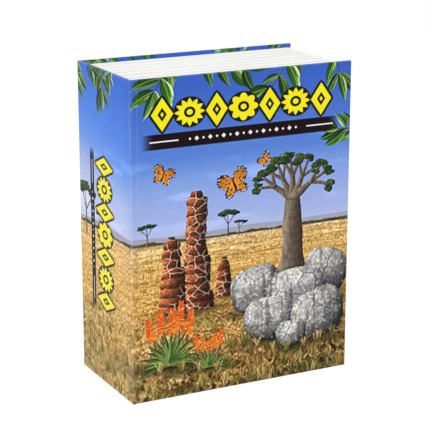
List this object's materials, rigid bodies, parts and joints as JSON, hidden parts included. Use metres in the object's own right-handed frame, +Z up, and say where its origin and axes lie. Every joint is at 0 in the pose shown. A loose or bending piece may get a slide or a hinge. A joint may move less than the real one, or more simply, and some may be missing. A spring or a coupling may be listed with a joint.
{
  "type": "book diversion safe",
  "caption": "Thick hardcover book whose glued pages hide a steel box with a hinged lid and a number-wheel lock.",
  "frame": {"origin": "centre of the closed book's footprint, on the surface that its cover's lower edges stand on", "axes": "+Z up along the spine, -X out of the spine, -Y out of the front cover"},
  "size_m": [0.2, 0.103, 0.265],
  "materials": {
    "board": "matte",
    "print": "satin",
    "endpaper": "matte",
    "lining": "matte",
    "paper": "matte",
    "black_steel": "satin",
    "bright_steel": "satin",
    "nickel": "satin",
    "black_plastic": "satin",
    "felt": "matte"
  },
  "bodies": {
    "book": {"spine_board": "board", "spine_wrap": "print", "spine_lining": "lining", "front_joint": "print", "back_joint": "print", "back_board": "board", "back_wrap": "print", "back_pastedown": "endpaper", "page_block": "paper", "safe_box": "black_steel", "floor_mat": "felt", "lid_ledge": "black_steel", "box_hinge_leaf": "bright_steel", "hinge_pin": "bright_steel"},
    "front_cover": {"front_board": "board", "front_wrap": "print", "front_pastedown": "endpaper"},
    "lid": {"lid_panel": "black_steel", "lid_hinge_leaf": "bright_steel", "lock_bezel": "black_plastic", "lock_case": "black_plastic", "wheel_axle": "bright_steel", "detent_spring": "bright_steel", "lock_screw_lower": "bright_steel", "lock_screw_upper": "bright_steel"},
    "latch": {"slide_button": "nickel", "lock_bolt": "bright_steel"},
    "wheel_1": {"number_wheel_1": "nickel"},
    "wheel_2": {"number_wheel_2": "nickel"},
    "wheel_3": {"number_wheel_3": "nickel"}
  },
  "joints": [
    {"name": "front_cover_hinge", "type": "hinge", "parent": "book", "child": "front_cover", "pos_m": [-0.097, -0.0515, 0.1325], "axis": [0, 0, -1], "range_deg": [0, 175], "deforming": ["front_joint"]},
    {"name": "lid_hinge", "type": "hinge", "parent": "book", "child": "lid", "pos_m": [-0.0747, -0.0434, 0.1325], "axis": [0, 0, -1], "range_deg": [0, 105]},
    {"name": "lock_slide", "type": "slide", "parent": "lid", "child": "latch", "axis": [1, 0, 0], "range_m": [0, 0.006]},
    {"name": "wheel_1_spin", "type": "hinge", "parent": "lid", "child": "wheel_1", "pos_m": [0.0522, -0.0381, 0.13525], "axis": [0, 0, 1], "continuous": true},
    {"name": "wheel_2_spin", "type": "hinge", "parent": "lid", "child": "wheel_2", "pos_m": [0.0522, -0.0381, 0.14425], "axis": [0, 0, 1], "continuous": true},
    {"name": "wheel_3_spin", "type": "hinge", "parent": "lid", "child": "wheel_3", "pos_m": [0.0522, -0.0381, 0.15325], "axis": [0, 0, 1], "continuous": true}
  ],
  "couplings": [
    {"joint": "lid_hinge", "follows": "front_cover_hinge", "ratio": 0.6}
  ]
}
